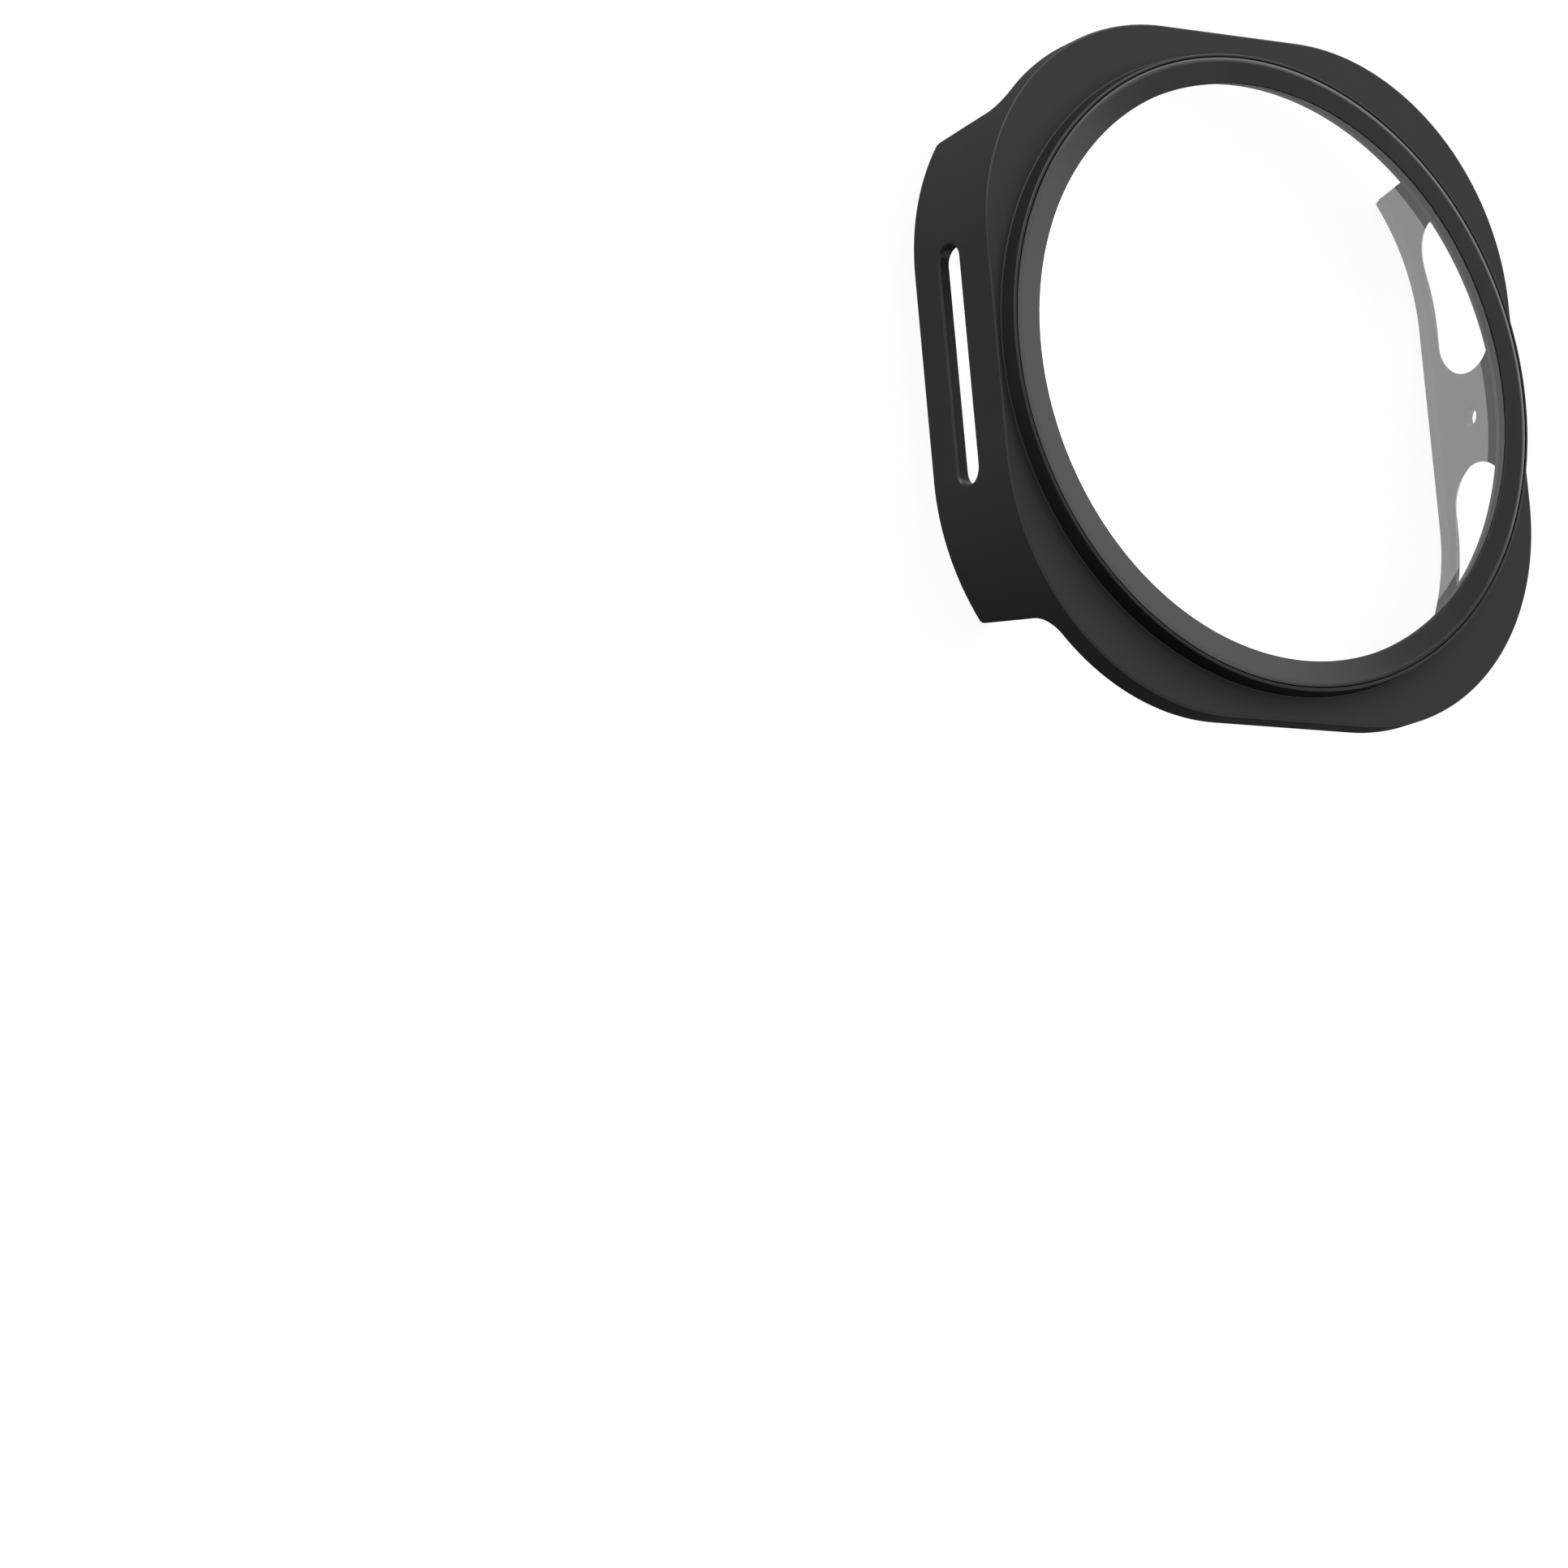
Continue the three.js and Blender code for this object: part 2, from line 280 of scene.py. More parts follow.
def endWallCut(side):
    # takes away what is beyond the leaning ends of the side walls and behind an end wall
    s = shellSizes
    lean = math.radians(s["endLean"])
    filletStart = wallHalfSpan + s["endFillet"] * math.tan(math.radians(90 - s["endLean"]) / 2)
    filletCentre = (filletStart, endUnderside - s["endFillet"])
    roundStart = wallHalfSpan - math.tan(lean) * endUnderside
    roundAlong = roundStart + s["endRound"] * math.tan(lean) - s["endRound"] / math.cos(lean)
    roundCentre = (roundAlong, s["endRound"])
    edge = arcPoints(filletCentre, s["endFillet"], 90, 180 - s["endLean"], s["fineSteps"])
    edge += arcPoints(roundCentre, s["endRound"], -s["endLean"], -90, s["roundSteps"])
    edge.append((roundAlong, -overrun))
    beyond = s["length"] / 2 + overrun
    outside = s["width"] / 2 + overrun
    rings = []
    for across in (-outside, 0, outside):
        shift = (abs(across) - wallReach(wallHalfSpan, 0)) * math.tan(math.radians(s["endSkew"]))
        profile = [(along + shift, up) for along, up in edge]
        profile += [(beyond, -overrun), (beyond, endUnderside)]
        ring = [(across, side * along, up) for along, up in profile]
        rings.append(ring if side > 0 else ring[::-1])
    return loftMesh("endWallCut", rings)


def footRoundCut(sideX, sideY):
    # rounds the bead's sharp inner corner, seen from above, where a side wall ends
    s = shellSizes
    skew = math.radians(s["endSkew"])
    lean = math.tan(math.radians(s["endLean"]))
    beadRadius = s["cornerRadius"] - s["wall"] - s["beadReach"]
    stations = (
        (-overrun, s["footRound"]),
        (beadTop, s["footRound"]),
        (beadTop + s["beadSlope"], s["footRoundTop"]),
    )
    rings = []
    for height, radius in stations:
        # the round touches the wall's end and the bead's inner edge
        reach = radius - s["footOverlap"]
        endAlong = wallHalfSpan - lean * (endUnderside - height) - cornerAlong
        endAcross = wallReach(wallHalfSpan, 0) - cornerAcross
        endDistance = endAlong * math.cos(skew) - endAcross * math.sin(skew)
        turn = skew + math.asin((endDistance - reach) / (beadRadius + reach))
        centre = (
            cornerAcross + (beadRadius + reach) * math.cos(turn),
            cornerAlong + (beadRadius + reach) * math.sin(turn),
        )
        startAngle, endAngle = 90 + s["endSkew"], 180 + math.degrees(turn)
        # along the round, and back well clear of the wall
        outline = arcPoints(centre, radius, startAngle, endAngle, s["fineSteps"])
        outline += arcPoints(centre, radius + overrun, endAngle, startAngle, s["clearSteps"])
        ring = [(sideX * x, sideY * y, height) for x, y in outline]
        rings.append(ring if sideX * sideY < 0 else ring[::-1])
    return loftMesh("footRoundCut", rings)


slotSizes = {"length": 16.5, "height": 2.2, "centre": 3.9, "chamfer": 0.15}


def speakerSlotCut():
    z = slotSizes
    stations = (
        (0, innerSkin(overrun)),
        (0, outerSkin(z["chamfer"])),
        (z["chamfer"], outerSkin(0)),
        (z["chamfer"], outerSkin(-overrun)),
    )
    rings = []
    for growth, reach in stations:
        length, height = z["length"] + 2 * growth, z["height"] + 2 * growth
        ring = obroundRing(0, z["centre"], length, height, reach)
        rings.append([(-x, -y, up) for x, y, up in ring])
    return loftMesh("speakerSlotCut", rings)


windowSizes = {
    "sill": 1.57, "frontBand": 1.35, "endPost": 3.5, "web": 6.5, "webShift": -0.15,
    "endFlare": 0.5, "rearFlare": 0.85, "frontFlare": 0.2, "micRadius": 0.7, "micDrop": 0.25,
}


def windowLayout():
    w = windowSizes
    front = shellSizes["faceHeight"] - w["frontBand"]
    return {
        "height": front - w["sill"],
        "centre": (front + w["sill"]) / 2,
        "length": wallHalfSpan - w["endPost"] - w["web"] / 2,
    }


def buttonWindowCut(side):
    w = windowSizes
    window = windowLayout()
    centreAlong = w["webShift"] + side * (w["web"] + window["length"]) / 2
    inner = (centreAlong, window["centre"], window["length"], window["height"])
    outer = (
        centreAlong,
        window["centre"] + (w["frontFlare"] - w["rearFlare"]) / 2,
        window["length"] + 2 * w["endFlare"],
        window["height"] + w["frontFlare"] + w["rearFlare"],
    )
    rings = [
        obroundRing(*inner, innerSkin(overrun)),
        obroundRing(*inner, innerSkin(0)),
        obroundRing(*outer, outerSkin(0)),
        obroundRing(*outer, outerSkin(-overrun)),
    ]
    return loftMesh("buttonWindowCut", rings)


def micHoleCut():
    w = windowSizes
    height = windowLayout()["centre"] - w["micDrop"]
    circle = arcPoints((0, height), w["micRadius"], 0, 360, 2 * shellSizes["fineSteps"])[:-1]
    middle = (shellSizes["width"] - shellSizes["wall"]) / 2
    rings = [[(middle + shift, along, up) for along, up in circle] for shift in (-overrun, overrun)]
    return loftMesh("micHoleCut", rings)


def makeShell():
    shell = objectFrom(shellBlank())
    shell.name = "mouldedShell"
    combine(shell, shellCavity(), "DIFFERENCE")
    combine(shell, turretBlank(), "UNION")
    cuts = [turretBore(), endWallCut(1), endWallCut(-1), speakerSlotCut()]
    cuts += [buttonWindowCut(1), buttonWindowCut(-1), micHoleCut()]
    cuts += [footRoundCut(sideX, sideY) for sideX in (1, -1) for sideY in (1, -1)]
    for cut in cuts:
        combine(shell, cut, "DIFFERENCE")
    finishMesh(shell, shellSizes["edgeAngle"])
    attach(shell, "root")
    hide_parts("bumper_frame")
    return shell


bezelSizes = {
    "gap": 0.10, "width": 1.77, "depth": 0.45, "crown": 0.05,
    "edgeWidth": 0.3, "edgeRadius": 1.0, "innerRound": 0.03,
    "edgeSteps": 12, "roundSteps": 4, "turnSteps": 320, "edgeAngle": 40,
}


def makeBezelRing():
    b = bezelSizes
    top = b["depth"]
    bend = math.degrees(math.asin(b["edgeWidth"] / b["edgeRadius"]))
    centre = (bezelRadius - b["edgeWidth"], top - b["edgeRadius"])
    edge = arcPoints(centre, b["edgeRadius"], 90 - bend, 90, b["edgeSteps"])
    soft = b["innerRound"]
    innerCentre = (openingRadius + soft, top + b["crown"] - soft)
    inner = arcPoints(innerCentre, soft, 90, 180, b["roundSteps"])
    profile = [(openingRadius, 0), (bezelRadius, 0)] + edge + inner
    ring = objectFrom(turnMesh("bezelRing", profile, b["turnSteps"]))
    finishMesh(ring, b["edgeAngle"], bezelUnderside)
    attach(ring, "root")
    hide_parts("bezel_ring")
    return ring


# seatGap keeps the flange a hair off the ring and the bond, so a ray meets one face at a time
lensSizes = {
    "topDrop": 0.05, "sideGap": 0.04, "plug": 0.48, "edgeRound": 0.02,
    "flange": 0.35, "flangeGap": 0.2, "seatGap": 0.005,
    "roundSteps": 4, "turnSteps": 320, "edgeAngle": 40,
}


def makeLens():
    z = lensSizes
    soft = z["edgeRound"]
    discRadius = openingRadius - z["sideGap"]
    flangeRadius = pocketRadius - z["flangeGap"]
    top = lipTop - z["topDrop"] - flangeUnderside
    bottom = shellSizes["faceHeight"] - z["plug"] - flangeUnderside
    foot, head = z["seatGap"], z["flange"] - z["seatGap"]
    profile = [(0, bottom)]
    profile += arcPoints((discRadius - soft, bottom + soft), soft, -90, 0, z["roundSteps"])
    profile += [(discRadius, foot), (flangeRadius, foot), (flangeRadius, head), (discRadius, head)]
    profile += arcPoints((discRadius - soft, top - soft), soft, 0, 90, z["roundSteps"])
    profile += [(0, top)]
    lens = objectFrom(turnMesh("clearLens", profile, z["turnSteps"]))
    finishMesh(lens, z["edgeAngle"], flangeUnderside)
    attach(lens, "root")
    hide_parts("lens")
    return lens


bondSizes = {"thickness": 0.15, "margin": 0.08, "roundSteps": 6, "turnSteps": 192, "edgeAngle": 60}


def makeBondRing():
    b = bondSizes
    inner, outer = boreRadius + b["margin"], pocketRadius - lensSizes["flangeGap"]
    squeeze = b["thickness"] / 2
    profile = arcPoints((inner + squeeze, squeeze), squeeze, 270, 90, b["roundSteps"])
    profile += arcPoints((outer - squeeze, squeeze), squeeze, 90, -90, b["roundSteps"])
    ring = objectFrom(turnMesh("bondRing", profile[::-1], b["turnSteps"]))
    finishMesh(ring, b["edgeAngle"], ledgeHeight)
    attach(ring, "root")
    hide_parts("bond_ring")
    return ring


# places shared by the pieces, in millimetres
cornerAcross = shellSizes["width"] / 2 - shellSizes["cornerRadius"]
cornerAlong = shellSizes["length"] / 2 - shellSizes["cornerRadius"]
wallHalfSpan = shellSizes["length"] / 2 - shellSizes["endSetback"]
beadTop = shellSizes["beadTip"] + shellSizes["beadLand"]
endUnderside = shellSizes["faceHeight"] - shellSizes["endWallDepth"]
plateUnderside = shellSizes["faceHeight"] - shellSizes["plate"]
lipTop = shellSizes["faceHeight"] + turretSizes["height"]
pocketRadius = turretSizes["radius"] - turretSizes["wall"]
bezelRadius = pocketRadius - bezelSizes["gap"]
openingRadius = bezelRadius - bezelSizes["width"]
boreRadius = openingRadius + turretSizes["boreStep"]
plateMiddle = shellSizes["faceHeight"] - shellSizes["plate"] / 2
bezelUnderside = lipTop - bezelSizes["depth"]
flangeUnderside = bezelUnderside - lensSizes["flange"]
ledgeHeight = flangeUnderside - bondSizes["thickness"]
overrun = 1.0   # how far a cutting tool stands out of what it cuts

shell = makeShell()
print("shell moulded,", len(shell.data.polygons), "faces")
bezel = makeBezelRing()
lens = makeLens()
bond = makeBondRing()
print("bezel ring, lens and bond ring made")


def newGroup(name, inputs, outputs):
    group = bpy.data.node_groups.new(name, "ShaderNodeTree")
    for socketName, kind, value in inputs:
        socket = group.interface.new_socket(socketName, in_out="INPUT", socket_type=kind)
        socket.default_value = value
    for socketName, kind in outputs:
        group.interface.new_socket(socketName, in_out="OUTPUT", socket_type=kind)
    start = group.nodes.new("NodeGroupInput")
    end = group.nodes.new("NodeGroupOutput")
    return group, start.outputs, end.inputs


def addNode(tree, kind, values=None, **settings):
    node = tree.nodes.new(kind)
    for name, value in settings.items():
        setattr(node, name, value)
    for socket, value in (values or {}).items():
        node.inputs[socket].default_value = value
    return node


def mapValue(tree, source, low, high, newLow, newHigh):
    limits = {1: low, 2: high, 3: newLow, 4: newHigh}
    node = addNode(tree, "ShaderNodeMapRange", limits, clamp=True)
    tree.links.new(source, node.inputs[0])
    return node.outputs[0]


def mixColour(tree, factor, first, second):
    node = addNode(tree, "ShaderNodeMix", data_type="RGBA")
    for place, value in ((0, factor), (6, first), (7, second)):
        if isinstance(value, bpy.types.NodeSocket):
            tree.links.new(value, node.inputs[place])
        else:
            node.inputs[place].default_value = value
    return node.outputs[2]


grainShape = {
    "fineDetail": 2.0, "fineRoughness": 0.6, "cloudDetail": 3.0, "cloudRoughness": 0.5,
    "pitScale": 0.6, "pitHeight": 0.5,
}


def makeMouldGrain(g):
    # fine spark-eroded tool texture: a value for colour and gloss, and a height for bump
    group, given, put = newGroup(
        "mouldGrain",
        [("Grain per metre", "NodeSocketFloat", 0.0), ("Cloud per metre", "NodeSocketFloat", 0.0)],
        [("Grain", "NodeSocketFloat"), ("Cloud", "NodeSocketFloat"), ("Height", "NodeSocketFloat")],
    )
    place = addNode(group, "ShaderNodeTexCoord")
    fineShape = {"Detail": g["fineDetail"], "Roughness": g["fineRoughness"]}
    fine = addNode(group, "ShaderNodeTexNoise", fineShape)
    pits = addNode(group, "ShaderNodeTexVoronoi", {"Randomness": 1.0})
    cloudShape = {"Detail": g["cloudDetail"], "Roughness": g["cloudRoughness"]}
    cloud = addNode(group, "ShaderNodeTexNoise", cloudShape)
    pitScale = addNode(group, "ShaderNodeMath", {1: g["pitScale"]}, operation="MULTIPLY")
    height = addNode(group, "ShaderNodeMath", {1: g["pitHeight"]}, operation="MULTIPLY_ADD")
    links = group.links
    for node in (fine, pits, cloud):
        links.new(place.outputs["Object"], node.inputs["Vector"])
    links.new(given["Grain per metre"], fine.inputs["Scale"])
    links.new(given["Grain per metre"], pitScale.inputs[0])
    links.new(pitScale.outputs[0], pits.inputs["Scale"])
    links.new(given["Cloud per metre"], cloud.inputs["Scale"])
    links.new(pits.outputs["Distance"], height.inputs[0])
    links.new(fine.outputs["Fac"], height.inputs[2])
    links.new(fine.outputs["Fac"], put["Grain"])
    links.new(cloud.outputs["Fac"], put["Cloud"])
    links.new(height.outputs[0], put["Height"])
    return group


# wear starts and is full at these cosines between the true normal and the softened one
wearShape = {"start": 0.97, "full": 0.75, "samples": 6, "patchScale": 900.0, "patchDetail": 3.0}


def makeEdgeWear(w):
    # 0 on open faces, rising to 1 on rubbed outer edges, broken up by noise
    group, given, put = newGroup(
        "edgeWear",
        [("Width", "NodeSocketFloat", 0.0), ("Break up", "NodeSocketFloat", 0.0)],
        [("Mask", "NodeSocketFloat"), ("Normal", "NodeSocketVector")],
    )
    softened = addNode(group, "ShaderNodeBevel", samples=w["samples"])
    shape = addNode(group, "ShaderNodeNewGeometry")
    compare = addNode(group, "ShaderNodeVectorMath", operation="DOT_PRODUCT")
    place = addNode(group, "ShaderNodeTexCoord")
    patchShape = {"Scale": w["patchScale"], "Detail": w["patchDetail"]}
    patches = addNode(group, "ShaderNodeTexNoise", patchShape)
    links = group.links
    links.new(given["Width"], softened.inputs["Radius"])
    links.new(softened.outputs[0], compare.inputs[0])
    links.new(shape.outputs["Normal"], compare.inputs[1])
    links.new(place.outputs["Object"], patches.inputs["Vector"])
    rubbed = mapValue(group, compare.outputs["Value"], w["start"], w["full"], 0.0, 1.0)
    broken = addNode(group, "ShaderNodeMath", operation="MULTIPLY")
    spots = addNode(group, "ShaderNodeMath", operation="MULTIPLY_ADD")
    keep = addNode(group, "ShaderNodeMath", {0: 1.0}, operation="SUBTRACT")
    links.new(given["Break up"], keep.inputs[1])
    links.new(patches.outputs["Fac"], spots.inputs[0])
    links.new(given["Break up"], spots.inputs[1])
    links.new(keep.outputs[0], spots.inputs[2])
    links.new(rubbed, broken.inputs[0])
    links.new(spots.outputs[0], broken.inputs[1])
    links.new(broken.outputs[0], put["Mask"])
    links.new(softened.outputs[0], put["Normal"])
    return group


mouldGrain = makeMouldGrain(grainShape)
edgeWear = makeEdgeWear(wearShape)
print("shader groups ready")


plasticIor = 1.5


def newMaterial(name, sockets):
    material = bpy.data.materials.new(name)
    material.use_nodes = True
    tree = material.node_tree
    tree.nodes.clear()
    shader = tree.nodes.new("ShaderNodeBsdfPrincipled")
    output = tree.nodes.new("ShaderNodeOutputMaterial")
    tree.links.new(shader.outputs[0], output.inputs["Surface"])
    for socket, value in sockets.items():
        shader.inputs[socket].default_value = value
    return material, tree, shader


def placeGroup(tree, group, values):
    node = tree.nodes.new("ShaderNodeGroup")
    node.node_tree = group
    for socket, value in values.items():
        node.inputs[socket].default_value = value
    return node


def placeGrain(tree, f):
    scales = {"Grain per metre": f["grain"], "Cloud per metre": f["cloud"]}
    return placeGroup(tree, mouldGrain, scales)


def addBump(tree, height, f, base=None):
    values = {"Strength": f["bumpStrength"], "Distance": f["bumpDepth"]}
    bump = addNode(tree, "ShaderNodeBump", values)
    tree.links.new(height, bump.inputs["Height"])
    if base is not None:
        tree.links.new(base, bump.inputs["Normal"])
    return bump.outputs[0]


# grain and cloud are in features per metre, bumpDepth and edgeWidth in metres,
# and a range gives the two values of a mask or of a normal's Z that something changes between
shellFinish = {
    "colour": (0.038, 0.038, 0.0384, 1),
    "colourLight": (0.043, 0.043, 0.0434, 1),
    "wornColour": (0.058, 0.058, 0.0585, 1),
    "specular": 0.006,
    "roughness": (0.66, 0.76),
    "wornRoughness": 0.55,
    "wornShare": 0.6,
    "wornBreakUp": 0.5,
    "grain": 9000.0,
    "grainRange": (0.3, 0.7),
    "cloud": 160.0,
    "bumpStrength": 0.5,
    "bumpDepth": 0.000004,
    "edgeWidth": 0.00012,
    "edgeGloss": 0.45,
    "edgeGlossRoughness": 0.3,
    "glossStartRange": (0.45, 0.6),
    "glossEndRange": (0.82, 0.92),
}


def makeShellFinish(name, f):
    material, tree, shader = newMaterial(name, {
        "IOR": plasticIor, "Specular IOR Level": f["specular"],
        "Coat IOR": plasticIor, "Coat Roughness": f["edgeGlossRoughness"],
    })
    grain = placeGrain(tree, f)
    wear = placeGroup(tree, edgeWear, {"Width": f["edgeWidth"], "Break up": f["wornBreakUp"]})
    mottled = mixColour(tree, grain.outputs["Cloud"], f["colour"], f["colourLight"])
    worn = addNode(tree, "ShaderNodeMath", {1: f["wornShare"]}, operation="MULTIPLY")
    tree.links.new(wear.outputs["Mask"], worn.inputs[0])
    rubbedColour = mixColour(tree, worn.outputs[0], mottled, f["wornColour"])
    tree.links.new(rubbedColour, shader.inputs["Base Color"])
    rough = mapValue(tree, grain.outputs["Grain"], *f["grainRange"], *f["roughness"])
    polished = addNode(tree, "ShaderNodeMix", data_type="FLOAT")
    polished.inputs[3].default_value = f["wornRoughness"]
    tree.links.new(worn.outputs[0], polished.inputs[0])
    tree.links.new(rough, polished.inputs[2])
    tree.links.new(polished.outputs[0], shader.inputs["Roughness"])
    # rounded edges between front and sides shine a little more than the open faces
    facing = addNode(tree, "ShaderNodeTexCoord")
    split = addNode(tree, "ShaderNodeSeparateXYZ")
    rounded = addNode(tree, "ShaderNodeMath", operation="MULTIPLY")
    tree.links.new(facing.outputs["Normal"], split.inputs[0])
    aboveSides = mapValue(tree, split.outputs["Z"], *f["glossStartRange"], 0.0, 1.0)
    belowFront = mapValue(tree, split.outputs["Z"], *f["glossEndRange"], f["edgeGloss"], 0.0)
    tree.links.new(aboveSides, rounded.inputs[0])
    tree.links.new(belowFront, rounded.inputs[1])
    tree.links.new(rounded.outputs[0], shader.inputs["Coat Weight"])
    normal = addBump(tree, grain.outputs["Height"], f, wear.outputs["Normal"])
    tree.links.new(normal, shader.inputs["Normal"])
    return material


# painted shade: the turret's side and the inside of the speaker slot get a darker copy of the
# plastic, standing in for the shade that falls there
paintedShadeWallFinish = dict(
    shellFinish, colour=(0.020, 0.020, 0.0203, 1), colourLight=(0.024, 0.024, 0.0243, 1),
)

bezelFinish = {
    "colour": (0.0035, 0.0035, 0.0037, 1),
    "dustColour": (0.012, 0.012, 0.012, 1),
    "dustShare": 0.6,
    "dustRange": (0.66, 0.74),
    "specular": 0.28,
    "roughness": (0.13, 0.15),
    "grain": 2500.0,
    "cloud": 260.0,
    "cloudRange": (0.35, 0.65),
    "bumpStrength": 0.2,
    "bumpDepth": 0.000001,
}

# the ring's rounded outer edge is less polished than its face
bezelEdgeFinish = dict(bezelFinish, roughness=(0.23, 0.26))


def makeBezelFinish(name, f):
    sockets = {"IOR": plasticIor, "Specular IOR Level": f["specular"]}
    material, tree, shader = newMaterial(name, sockets)
    grain = placeGrain(tree, f)
    dust = mapValue(tree, grain.outputs["Grain"], *f["dustRange"], 0.0, f["dustShare"])
    tree.links.new(mixColour(tree, dust, f["colour"], f["dustColour"]), shader.inputs["Base Color"])
    rough = mapValue(tree, grain.outputs["Cloud"], *f["cloudRange"], *f["roughness"])
    tree.links.new(rough, shader.inputs["Roughness"])
    tree.links.new(addBump(tree, grain.outputs["Height"], f), shader.inputs["Normal"])
    return material


lensFinish = {
    "tint": (1.0, 1.0, 1.0, 1),
    "tintLow": (0.985, 0.99, 0.99, 1),
    "roughness": (0.0, 0.012),
    "grain": 1500.0,
    "grainRange": (0.5, 0.8),
    "cloud": 120.0,
    "frontIor": 1.95,
    "rearIor": 2.42,
    # strength of the painted white glow seen in reflections inside the lens
    "paintedReflectionGlow": 1.0,
}


def makeLensFinish(name, f, coat, coatIor, paintedWhiteReflection=False):
    material, tree, shader = newMaterial(name, {
        "IOR": 1.0, "Transmission Weight": 1.0,
        "Coat Weight": coat, "Coat IOR": coatIor, "Coat Roughness": 0.0,
    })
    grain = placeGrain(tree, f)
    tint = mixColour(tree, grain.outputs["Cloud"], f["tint"], f["tintLow"])
    tree.links.new(tint, shader.inputs["Base Color"])
    rough = mapValue(tree, grain.outputs["Grain"], *f["grainRange"], *f["roughness"])
    tree.links.new(rough, shader.inputs["Roughness"])
    # lamplight passes straight through to what is behind
    path = addNode(tree, "ShaderNodeLightPath")
    clear = addNode(tree, "ShaderNodeBsdfTransparent", {"Color": (1.0, 1.0, 1.0, 1)})
    choose = addNode(tree, "ShaderNodeMixShader")
    tree.links.new(path.outputs["Is Shadow Ray"], choose.inputs[0])
    tree.links.new(shader.outputs[0], choose.inputs[1])
    tree.links.new(clear.outputs[0], choose.inputs[2])
    surface = choose.outputs[0]
    if paintedWhiteReflection:
        # painted reflection: faces met from inside by reflected rays glow an even white, so
        # reflections inside the lens show white, not the lamps or the ring round it
        mirrored = addNode(tree, "ShaderNodeMath", operation="MULTIPLY")
        fromInside = addNode(tree, "ShaderNodeMath", operation="MULTIPLY")
        shape = addNode(tree, "ShaderNodeNewGeometry")
        white = addNode(tree, "ShaderNodeEmission", {"Strength": f["paintedReflectionGlow"]})
        pick = addNode(tree, "ShaderNodeMixShader")
        tree.links.new(path.outputs["Is Glossy Ray"], mirrored.inputs[0])
        tree.links.new(path.outputs["Is Reflection Ray"], mirrored.inputs[1])
        tree.links.new(mirrored.outputs[0], fromInside.inputs[0])
        tree.links.new(shape.outputs["Backfacing"], fromInside.inputs[1])
        tree.links.new(fromInside.outputs[0], pick.inputs[0])
        tree.links.new(surface, pick.inputs[1])
        tree.links.new(white.outputs[0], pick.inputs[2])
        surface = pick.outputs[0]
    tree.links.new(surface, tree.nodes["Material Output"].inputs["Surface"])
    return material


bondFinish = {
    "colour": (0.008, 0.008, 0.0082, 1),
    "colourLight": (0.010, 0.010, 0.010, 1),
    "roughness": (0.6, 0.8),
    "specular": 0.05,
    "ior": 1.45,
    "grain": 5000.0,
    "cloud": 400.0,
    "cloudRange": (0.3, 0.7),
    "bumpStrength": 0.4,
    "bumpDepth": 0.000004,
}


def makeBondFinish(f):
    sockets = {"IOR": f["ior"], "Specular IOR Level": f["specular"]}
    material, tree, shader = newMaterial("blackAdhesive", sockets)
    grain = placeGrain(tree, f)
    mottled = mixColour(tree, grain.outputs["Grain"], f["colour"], f["colourLight"])
    tree.links.new(mottled, shader.inputs["Base Color"])
    rough = mapValue(tree, grain.outputs["Cloud"], *f["cloudRange"], *f["roughness"])
    tree.links.new(rough, shader.inputs["Roughness"])
    tree.links.new(addBump(tree, grain.outputs["Height"], f), shader.inputs["Normal"])
    return material


def paint(piece, materials, pick=None):
    # pick chooses from the list by a face's middle, in millimetres, and its normal
    piece.data.materials.clear()
    for material in materials:
        piece.data.materials.append(material)
    if pick is None:
        return
    for face in piece.data.polygons:
        face.material_index = pick(face.center / mm, face.normal)


# reaches are in millimetres, and the others are limits on one part of a unit normal
pickLimits = {
    "reach": 0.02, "innerReach": 0.2, "turretSide": 0.45, "slotInside": 0.3, "upright": 0.5,
}


def pickShell(middle, normal):
    reach = pickLimits["reach"]
    radius = math.hypot(middle.x, middle.y)
    outer = turretSizes["radius"] + reach
    inner = turretSizes["radius"] - turretSizes["draft"] - reach
    onTurret = inner < radius < outer and middle.z > shellSizes["faceHeight"]
    # index 1 is the darker copy of the plastic, with painted shade for the turret's side and the
    # slot's inside
    if onTurret and abs(normal.z) < pickLimits["turretSide"]:
        return 1
    inLength = abs(middle.y) < slotSizes["length"] / 2 + reach
    inHeight = abs(middle.z - slotSizes["centre"]) < slotSizes["height"] / 2 + reach
    inSlot = middle.x < 0 and inLength and inHeight
    return 1 if inSlot and abs(normal.x) < pickLimits["slotInside"] else 0


def pickBezel(middle, normal):
    radius = math.hypot(middle.x, middle.y)
    onInside = radius < openingRadius + pickLimits["innerReach"]
    if onInside and abs(normal.z) < pickLimits["upright"]:
        return 1
    return 2 if radius > bezelRadius - bezelSizes["edgeWidth"] else 0


def pickLens(middle, normal):
    # the two big round faces have their middle on the axis
    onEdge = math.hypot(middle.x, middle.y) > openingRadius / 2
    if onEdge or abs(normal.z) < pickLimits["upright"]:
        return 2
    return 0 if middle.z > faceMiddle else 1


faceMiddle = (lipTop + shellSizes["faceHeight"]) / 2
bondMaterial = makeBondFinish(bondFinish)
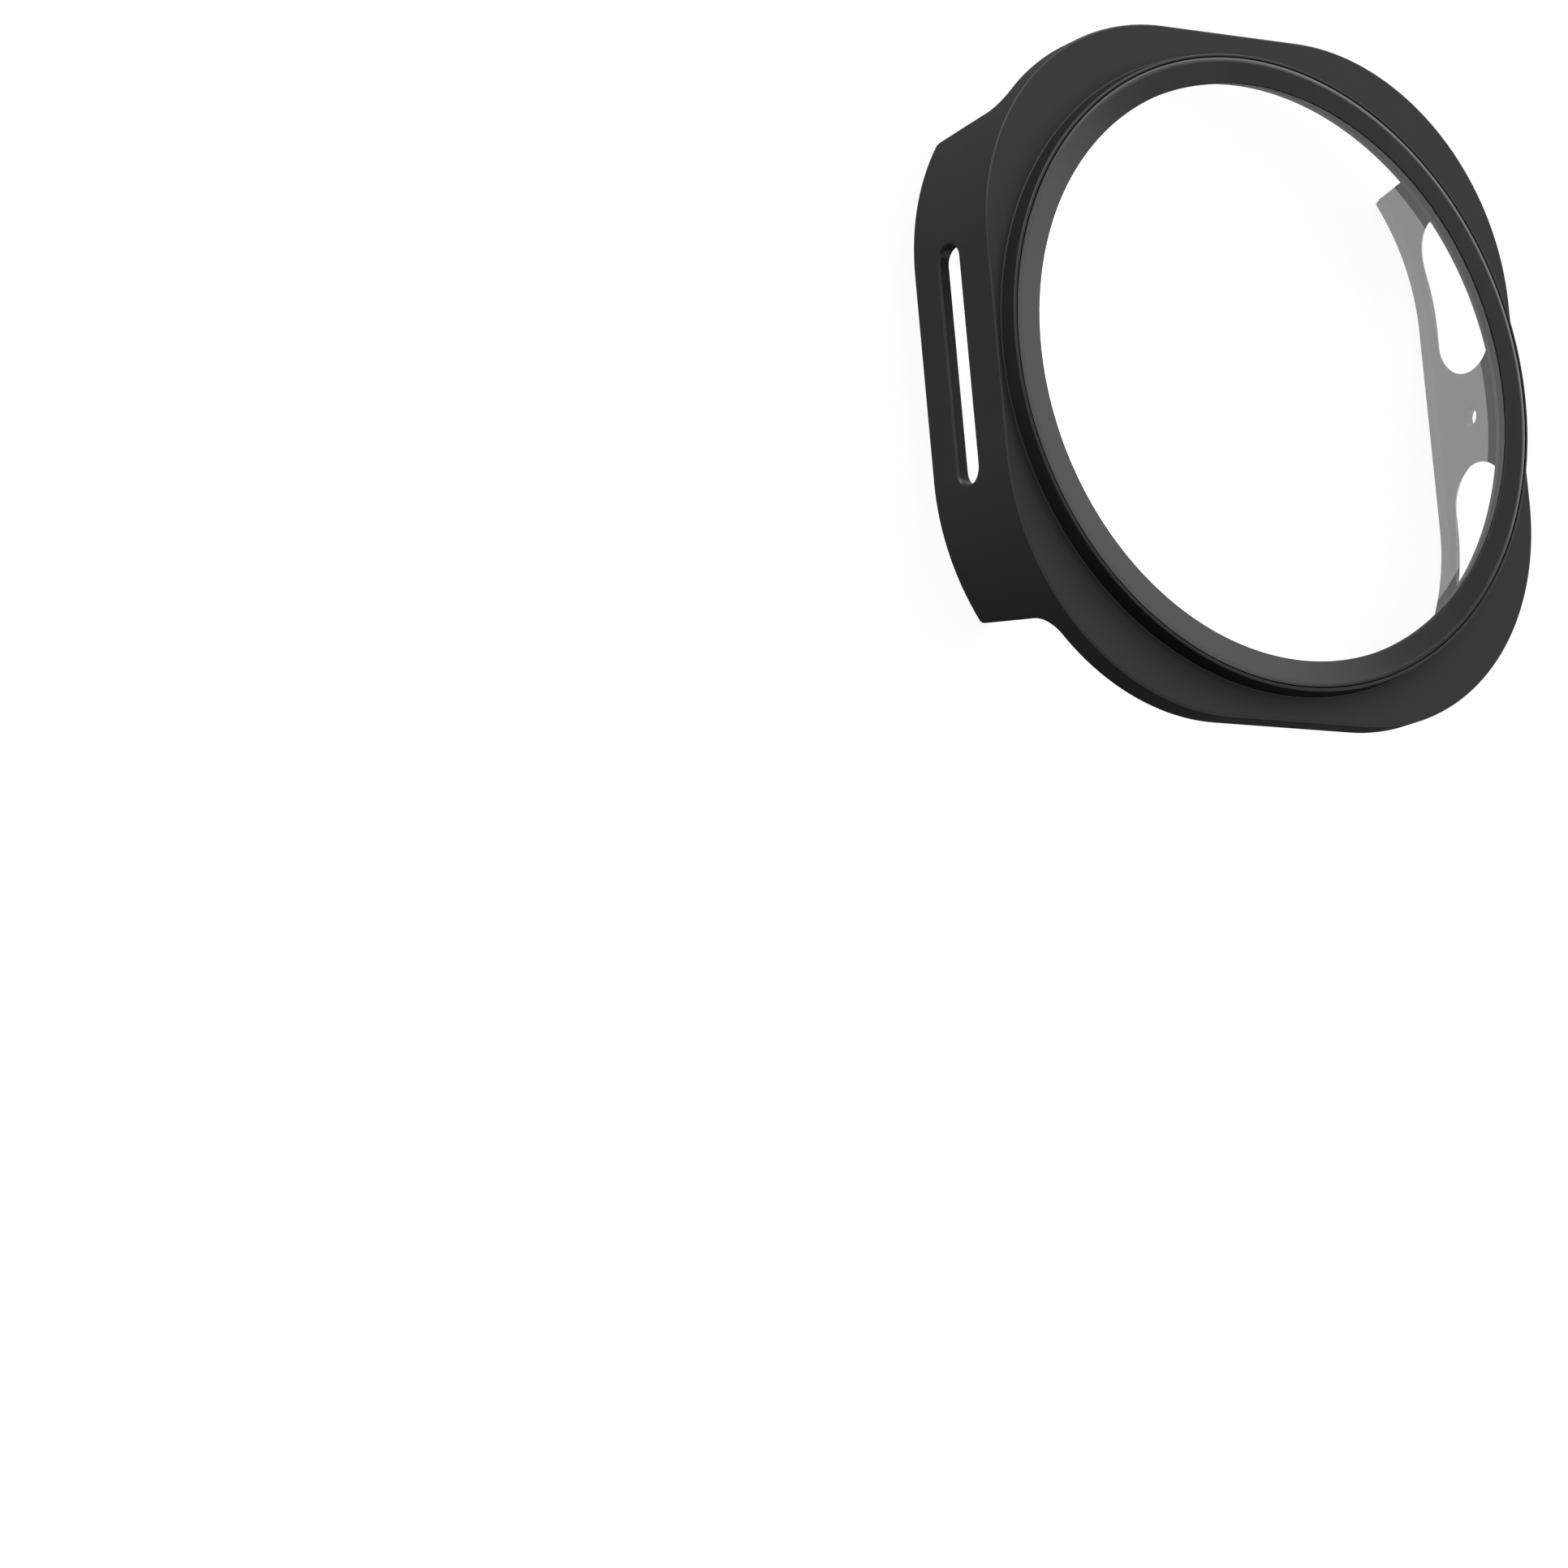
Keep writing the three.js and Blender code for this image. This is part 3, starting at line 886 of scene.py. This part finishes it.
# the front and edge materials carry the painted white glow for reflections inside the lens
lensMaterials = [
    makeLensFinish("clearFront", lensFinish, 1.0, lensFinish["frontIor"], paintedWhiteReflection=True),
    makeLensFinish("clearRear", lensFinish, 1.0, lensFinish["rearIor"]),
    makeLensFinish("clearEdge", lensFinish, 0.0, lensFinish["frontIor"], paintedWhiteReflection=True),
]
shellMaterials = [
    makeShellFinish("matteBlackPlastic", shellFinish),
    # the second material is the darker copy with painted shade
    makeShellFinish("paintedShadeWallPlastic", paintedShadeWallFinish),
]
paint(shell, shellMaterials, pickShell)
bezelMaterials = [
    makeBezelFinish("glossBlackRing", bezelFinish),
    bondMaterial,
    makeBezelFinish("satinRingEdge", bezelEdgeFinish),
]
paint(bezel, bezelMaterials, pickBezel)
paint(lens, lensMaterials, pickLens)
paint(bond, [bondMaterial])
print("materials assigned")


studio = {
    "floorSize": 3.0,
    "floorDrop": 0.00002,
    "floorGlow": 0.95,
    "floorShade": 0.08,
    "floorBounce": 0.25,
    "fill": 0.14,
}

# azimuth from +X towards +Y, both angles in degrees, sizes in metres, power in watts
softboxes = {
    "overheadBox": {
        "azimuth": 12.8, "elevation": 73.0, "distance": 0.7,
        "shape": "DISK", "size": (0.64, 0.64), "power": 3.0,
    },
    "stripBox": {
        "azimuth": 44, "elevation": 27, "distance": 0.8,
        "shape": "RECTANGLE", "size": (1.1, 0.34), "power": 5.4,
    },
    "cornerBox": {
        "azimuth": 62, "elevation": 45, "distance": 0.8,
        "shape": "DISK", "size": (0.28, 0.28), "power": 1.0,
    },
    "sideBox": {
        "azimuth": 130, "elevation": 4, "distance": 0.8,
        "shape": "RECTANGLE", "size": (0.9, 0.22), "power": 7.0,
    },
}


def seenDirectly(tree):
    # 1 for what the camera sees straight, in gloss or through glass
    path = addNode(tree, "ShaderNodeLightPath")
    first = addNode(tree, "ShaderNodeMath", operation="MAXIMUM")
    second = addNode(tree, "ShaderNodeMath", operation="MAXIMUM")
    tree.links.new(path.outputs["Is Camera Ray"], first.inputs[0])
    tree.links.new(path.outputs["Is Transmission Ray"], first.inputs[1])
    tree.links.new(first.outputs[0], second.inputs[0])
    tree.links.new(path.outputs["Is Glossy Ray"], second.inputs[1])
    return second.outputs[0]


def makeFloor(s):
    half = s["floorSize"] / 2
    drop = -s["floorDrop"]
    mesh = bpy.data.meshes.new("paleFloor")
    corners = [(x * half, y * half, drop) for x, y in ((-1, -1), (1, -1), (1, 1), (-1, 1))]
    mesh.from_pydata(corners, [], [(0, 1, 2, 3)])
    floor = objectFrom(mesh)
    material = bpy.data.materials.new("palePaper")
    material.use_nodes = True
    tree = material.node_tree
    tree.nodes.clear()
    shade = s["floorShade"]
    paper = addNode(tree, "ShaderNodeBsdfDiffuse", {"Color": (shade, shade, shade, 1)})
    glow = addNode(tree, "ShaderNodeEmission")
    both = addNode(tree, "ShaderNodeAddShader")
    output = addNode(tree, "ShaderNodeOutputMaterial")
    strength = mapValue(tree, seenDirectly(tree), 0.0, 1.0, s["floorBounce"], s["floorGlow"])
    tree.links.new(strength, glow.inputs["Strength"])
    tree.links.new(paper.outputs[0], both.inputs[0])
    tree.links.new(glow.outputs[0], both.inputs[1])
    tree.links.new(both.outputs[0], output.inputs["Surface"])
    floor.data.materials.append(material)


def makeWorld(s):
    world = bpy.data.worlds.new("whiteStudio")
    bpy.context.scene.world = world
    world.use_nodes = True
    tree = world.node_tree
    tree.nodes.clear()
    choose = addNode(tree, "ShaderNodeMix", {2: s["fill"], 3: 1.0}, data_type="FLOAT")
    tree.links.new(seenDirectly(tree), choose.inputs[0])
    back = addNode(tree, "ShaderNodeBackground")
    output = addNode(tree, "ShaderNodeOutputWorld")
    tree.links.new(choose.outputs[0], back.inputs["Strength"])
    tree.links.new(back.outputs[0], output.inputs["Surface"])


def hangSoftbox(name, b):
    data = bpy.data.lights.new(name, "AREA")
    data.shape = b["shape"]
    data.size, data.size_y = b["size"]
    data.energy = b["power"]
    azimuth, elevation = math.radians(b["azimuth"]), math.radians(b["elevation"])
    level = math.cos(elevation)
    away = Vector((math.cos(azimuth) * level, math.sin(azimuth) * level, math.sin(elevation)))
    box = bpy.data.objects.new(name, data)
    box.location = away * b["distance"]
    box.rotation_euler = away.to_track_quat("Z", "Y").to_euler()
    box.visible_camera = False
    bpy.context.scene.collection.objects.link(box)


makeFloor(studio)
makeWorld(studio)
for boxName, box in softboxes.items():
    hangSoftbox(boxName, box)
bpy.context.scene.view_settings.view_transform = "Standard"
print("studio lit")
